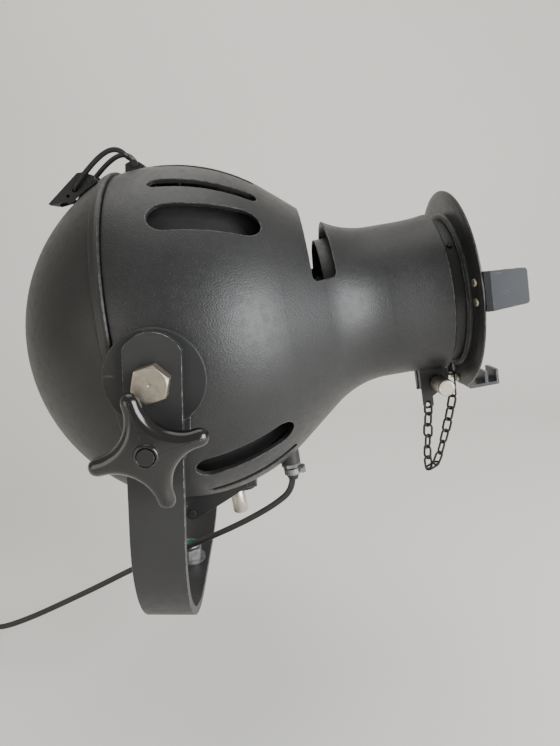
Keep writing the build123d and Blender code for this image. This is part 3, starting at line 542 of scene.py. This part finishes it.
def knob(looks):
    """Bakelite star: round arms that rise to a low hub with a ring around the stud's end."""
    outline = knob_outline()
    steps = 10

    def ring(inset, rise, shrink=1.0):
        """Outline moved inwards by inset; rise runs from 0 at the widest line to 1 on the crest."""
        points = []
        for x, y, nx, ny in outline:
            px, py = (x - nx * inset) * shrink, (y - ny * inset) * shrink
            reach = min(1.0, hypot(px, py) / (TIP_AT + TIP_R))
            crest = KNOB_CREST - KNOB_FALL * reach**0.9
            h = KNOB_WIDEST + (crest - KNOB_WIDEST) * rise if rise >= 0 else KNOB_WIDEST * (1 + rise)
            points.append((px * MM, py * MM, h * MM))
        return points
    front = []
    for k in range(steps + 1):
        a = pi / 2 * k / steps
        front.append(ring(KNOB_EDGE * (1 - cos(a)), sin(a)))
    back = []
    for k in range(steps, 0, -1):
        a = pi / 2 * k / steps
        back.append(ring(KNOB_EDGE * (1 - cos(a)), -sin(a)))
    rings = [ring(KNOB_EDGE, -1, s) for s in (0.3, 0.6, 0.85)] + back + front
    rings += [ring(KNOB_EDGE, 1, s) for s in (0.93, 0.85, 0.75, 0.65, 0.55, 0.45, 0.36, 0.2)]
    mesh = rings_mesh("knob_star", rings)
    place = pointing(KNOB_AT, (0, -1, 0))
    star = piece("knob_star", mesh, looks["knob"], "lock_knob", place @ knob_spin(place))
    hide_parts("lock_knob")
    neck = [(9.4, -11.2), (10.2, -10.8), (10.0, -6), (10.4, -1), (12.5, 3)]
    piece("knob_neck", rings_mesh("knob_neck", lathe_rings(neck)), looks["knob"], "lock_knob",
          place)
    hub = [(8.4, 11.2), (7.6, 13.5), (7.0, 14.4), (6.3, 14.7), (5.6, 14.4), (5.2, 13.8), (4.6, 13.5)]
    piece("knob_hub", rings_mesh("knob_hub", lathe_rings(hub)), looks["knob"], "lock_knob",
          place)
    end = [(4.3, 12.2), (4.3, 13.9), (3.9, 14.3), (2.6, 14.3), (2.3, 14.0), (1.0, 14.0), (0.3, 14.05)]
    shape = piece("knob_insert", rings_mesh("knob_insert", lathe_rings(end)), looks["disc"], "lock_knob",
                  place)
    sharpen(shape)


def knob_spin(place):
    """Turns the star so that one arm stands KNOB_TURN degrees round from the camera's right."""
    right = place.to_3x3().inverted() @ Vector((1, 0, 0))
    up = place.to_3x3().inverted() @ Vector((0, 0, 1))
    start = atan2(right.y, right.x)
    way = 1 if right.cross(up).z > 0 else -1
    return Matrix.Rotation(start + way * radians(KNOB_TURN), 4, "Z")


# ---- thumbscrews ----
CLAMP_SCREW_AT = (203.8 * MM, 0, -74.8 * MM)
TRAY_SCREW_AT = (17 * MM, 0, 0)
THREAD_DEPTH = 0.45


def knurl(count, depth, start, end):
    """Ripple for a lathe: teeth around the grip between two heights."""
    def ripple(a, r, h):
        inside = start < h < end
        return -depth * (0.5 + 0.5 * cos(count * a)) if inside else 0.0
    return ripple


def thumbscrews(looks):
    grip = [(4.4, 9.9), (4.6, 12.6), (6.2, 12.6), (6.8, 13.2), (6.8, 14.4), (6.9, 14.5), (6.9, 34.2),
            (6.8, 34.3), (6.8, 34.9), (6.0, 35.9), (5.9, 35.95), (5.7, 35.8), (5.4, 35.8), (5.2, 36.0),
            (1.0, 36.0)]
    rings = lathe_rings(grip, 168, knurl(42, 0.35, 14.45, 34.25))
    place = LENS @ Matrix.Translation(CLAMP_SCREW_AT) @ pointing((0, 0, 0), (0, -1, 0))
    shape = piece("clamp_screw_grip", rings_mesh("clamp_screw_grip", rings), looks["nickel"],
                  "clamp_thumbscrew", place)
    sharpen(shape, 40)
    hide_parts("clamp_thumbscrew")
    thread = threaded(3.0, -16.0, 10.2, 1.0)
    piece("clamp_screw_thread", thread, looks["zinc"], "clamp_thumbscrew", place)
    grip = [(4.4, 138.9), (4.6, 144.1), (6.0, 144.3), (6.4, 144.9), (6.4, 158.6), (6.5, 158.7), (6.5, 166.8),
            (6.4, 166.9), (6.3, 167.5), (5.7, 168.1), (1.0, 168.15)]
    rings = lathe_rings(grip, 160, knurl(40, 0.3, 158.65, 166.85))
    place = AXIS @ Matrix.Translation(TRAY_SCREW_AT) @ pointing((0, 0, 0), (0, 0, -1))
    shape = piece("tray_screw_grip", rings_mesh("tray_screw_grip", rings), looks["nickel"],
                  "tray_thumbscrew", place)
    sharpen(shape, 40)
    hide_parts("tray_thumbscrew")
    piece("tray_screw_thread", threaded(2.95, 128.2, 139.0, 1.0), looks["zinc"], "tray_thumbscrew",
          place)


def threaded(radius, start, end, pitch, count=24):
    """Bar with a fine thread, as one mesh of closely set rings."""
    rings = []
    steps = int((end - start) / (pitch / 4))
    for i in range(steps + 1):
        h = start + (end - start) * i / steps
        ring = []
        for k in range(count):
            a = 2 * pi * k / count
            wave = abs(((h / pitch + a / (2 * pi)) % 1) - 0.5) * 2
            r = radius - THREAD_DEPTH * wave
            ring.append((r * cos(a) * MM, r * sin(a) * MM, h * MM))
        rings.append(ring)
    return rings_mesh("thread", rings)


# ---- mains flex ----
FLEX_ROUTE = [(90.2, -30, 111.5), (92.3, -30, 100.5), (89.5, -29.6, 86.5), (80.0, -28.0, 76.8),
              (67.5, -25.4, 66.4), (46.0, -21, 51.3), (20.0, -16, 35.8), (-2.0, -13.6, 24.2),
              (-28.0, -11, 11.8), (-53.0, -9.2, -1.4), (-83.0, -7.6, -19.2), (-117.0, -6.0, -37.9),
              (-151.0, -5, -55.7), (-180.0, -4, -67.6), (-203.0, 5.6, -71.9), (-223.1, 17.1, -72.3)]
TAIL_ROUTE = [(-268.7, -10, -88.5), (-268.5, -24, -87.8), (-267.6, -38, -85.4), (-267.0, -52, -85.0)]
COIL_AT = (-236.0, -10.0)
COIL_R, COIL_TOP = 30.0, -72.3
COIL_START, COIL_TURNS = 64.5, 7 + 115.5 / 360
COIL_COLUMN, COIL_LAYER = 2.75, 5.4    # half the distance between the two columns; height of a layer
COIL_SWELL = 1.012                     # control points lie a little outside the round they draw
CROSSING = 0.12                        # part of a turn that the flex takes to change column


def coil_points(per_turn=14):
    """Turns that lie in two columns and four layers: outer, inner, inner, outer and so on down."""
    def column(t):
        return COIL_COLUMN if floor(t) % 4 in (0, 3) else -COIL_COLUMN

    def layer(t):
        return floor(t) // 2

    points = []
    total = round(COIL_TURNS * per_turn)
    for k in range(1, total):
        t = COIL_TURNS * k / total
        part = t - floor(t)
        blend = min(1.0, part / CROSSING)
        blend = blend * blend * (3 - 2 * blend)
        before = t - part - 0.5 if t >= 1 else t
        r = column(before) + (column(t) - column(before)) * blend
        z = layer(before) + (layer(t) - layer(before)) * blend
        a = radians(COIL_START) + 2 * pi * t
        radius = (COIL_R + r) * COIL_SWELL
        points.append((COIL_AT[0] + radius * cos(a), COIL_AT[1] + radius * sin(a),
                       COIL_TOP - COIL_LAYER * z))
    return points


def nurbs_line(points):
    """Points along the smooth curve that has these control points, in metres."""
    data = bpy.data.curves.new("route", "CURVE")
    data.dimensions = "3D"
    data.resolution_u = 6
    spline = data.splines.new("NURBS")
    spline.points.add(len(points) - 1)
    for slot, point in zip(spline.points, points):
        slot.co = (*(c * MM for c in point), 1.0)
    spline.order_u = 3
    spline.use_endpoint_u = True
    route = bpy.data.objects.new("route", data)
    bpy.context.scene.collection.objects.link(route)
    bpy.context.view_layer.update()
    mesh = bpy.data.meshes.new_from_object(route.evaluated_get(bpy.context.evaluated_depsgraph_get()))
    line = [v.co.copy() for v in mesh.vertices]
    bpy.data.meshes.remove(mesh)
    bpy.data.objects.remove(route)
    bpy.data.curves.remove(data)
    return line


def twin_section():
    """Cross-section of flat twin flex: two round cores side by side, in metres."""
    core, apart = 1.45 * MM, 1.25 * MM
    half = []
    for k in range(9):
        a = radians(-124 + 31 * k)
        half.append((apart + core * cos(a), core * sin(a)))
    return half + [(-x, -y) for x, y in half]


def sweep_along(name, line, section):
    """Mesh of a section carried along a line, with as little twist as possible."""
    thin = Vector((0, 1, 0))
    rings = []
    for k, point in enumerate(line):
        ahead = line[min(k + 1, len(line) - 1)] - line[max(k - 1, 0)]
        ahead.normalize()
        thin = (thin - ahead * thin.dot(ahead)).normalized()
        wide = ahead.cross(thin)
        rings.append([tuple(point + wide * u + thin * v) for u, v in section])
    return rings_mesh(name, rings)


def flex(looks):
    line = nurbs_line([*FLEX_ROUTE, *coil_points(), *TAIL_ROUTE])
    clean = [line[0]]
    for point in line[1:]:
        if (point - clean[-1]).length > 0.2 * MM:
            clean.append(point)
    mesh = sweep_along("mains_flex", clean, twin_section())
    lead = piece("mains_flex", mesh, looks["flex"], None)
    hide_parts("flex_lead", "flex_tail", "flex_coil")
    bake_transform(lead)


# ---- latch wire and safety chain ----
LATCH_WIRE = [(-59.9, -8.5, 127.2), (-59.9, -14.6, 127.2), (-50.3, -14.6, 136.4), (-37.0, -14.6, 146.4),
              (-26.5, -14.6, 151.2), (-18.8, -14.6, 150.0), (-14.6, -14.6, 144.9), (-13.9, -9.5, 143.8)]
CHAIN_ROUTE = [(206.6, -15.0, 163.4), (207.4, -14.4, 154.4), (209.0, -13.0, 138.0), (210.3, -11.7, 121.9),
               (211.5, -10.6, 106.0), (216.2, -10.0, 97.5), (220.9, -9.1, 108.5), (223.8, -8.2, 120.6),
               (225.9, -7.2, 131.9), (228.0, -6.2, 143.9), (229.6, -5.1, 155.9), (230.8, -4.3, 166.3)]
CHAIN_TOP = (227.5, -2.4, 188.3)
LINKS, FIXED_LINKS = 13, 6
LINK_WIDTH, LINK_WIRE, LINK_OVERLAP = 9.0, 1.0, 3.8
CLIP_WIDTH, CLIP_WIRE, CLIP_OVERLAP = 7.4, 0.8, 2.4
LATCH_WIRE_R = 2 * MM


def latch_wire(looks):
    half = LATCH_WIRE
    line = [AXIS @ p for p in nurbs_line([*half, *((x, -y, z) for x, y, z in reversed(half))])]
    circle = [(LATCH_WIRE_R * cos(2 * pi * k / 16), LATCH_WIRE_R * sin(2 * pi * k / 16)) for k in range(16)]
    shape = piece("latch_wire", sweep_along("latch_wire", line, circle), looks["steel"], "latch_loop")
    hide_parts("latch_loop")


def link_rings(length, width, wire):
    """Centreline and thickness of one oval chain link in its own X and Z, as swept rings."""
    bend = width / 2 - wire
    straight = length / 2 - width / 2
    rings = []
    for k in range(32):
        a = 2 * pi * k / 32
        lift = straight if sin(a) >= 0 else -straight
        centre = Vector((bend * cos(a), 0, lift + bend * sin(a)))
        out = Vector((cos(a), 0, sin(a)))
        ring = []
        for j in range(10):
            b = 2 * pi * j / 10
            ring.append(tuple((centre + out * wire * cos(b) + Vector((0, wire * sin(b), 0))) * MM))
        rings.append(ring)
    return rings


def link_mesh(name, length, width, wire, matrix):
    rings = link_rings(length, width, wire)
    mesh = rings_mesh(name, [*rings, rings[0]], False, False)
    mesh.transform(matrix)
    return mesh


def joined(name, meshes, material, body):
    work = bmesh.new()
    for mesh in meshes:
        work.from_mesh(mesh)
        bpy.data.meshes.remove(mesh)
    whole = bpy.data.meshes.new(name)
    work.to_mesh(whole)
    work.free()
    return piece(name, whole, material, body)


def chain(looks):
    line = nurbs_line(CHAIN_ROUTE)
    reach = [0.0]
    for a, b in zip(line, line[1:]):
        reach.append(reach[-1] + (b - a).length)

    def spot(d):
        i = max(k for k, r in enumerate(reach) if r <= d)
        i = min(i, len(line) - 2)
        part = (d - reach[i]) / (reach[i + 1] - reach[i])
        return line[i].lerp(line[i + 1], min(1.0, part))
    pitch = reach[-1] / LINKS
    strands = [[], []]
    for k in range(LINKS):
        low, high = spot(pitch * k), spot(min(reach[-1], pitch * (k + 1)))
        turn = (high - low).to_track_quat("Z", "Y").to_matrix().to_4x4()
        roll = Matrix.Rotation(radians(90 * (k % 2) + 12 * sin(k * 2.1)), 4, "Z")
        place = Matrix.Translation((low + high) / 2) @ turn @ roll
        mesh = link_mesh("link", pitch / MM + LINK_OVERLAP, LINK_WIDTH, LINK_WIRE, place)
        strands[0 if k < FIXED_LINKS else 1].append(mesh)
    top, end = Vector(CHAIN_TOP) * MM, line[-1]
    turn = (top - end).to_track_quat("Z", "Y").to_matrix().to_4x4()
    clip = Matrix.Translation((top + end) / 2) @ turn @ Matrix.Rotation(radians(90), 4, "Z")
    clip_length = (top - end).length / MM + CLIP_OVERLAP
    strands[1].append(link_mesh("clip", clip_length, CLIP_WIDTH, CLIP_WIRE, clip))
    hanging = joined("chain_links_fixed", strands[0], looks["chain"], "chain_fixed")
    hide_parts("chain_fixed_strand")
    moving = joined("chain_links_moving", strands[1], looks["chain"], "chain_moving")
    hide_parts("chain_moving_strand")


# ---- make everything ----
camera()
stage()
looks = make_materials()
flex(looks)
paint_cad(looks)
pivot_bolts(looks)
mount_nut(looks)
knob(looks)
thumbscrews(looks)
latch_wire(looks)
chain(looks)
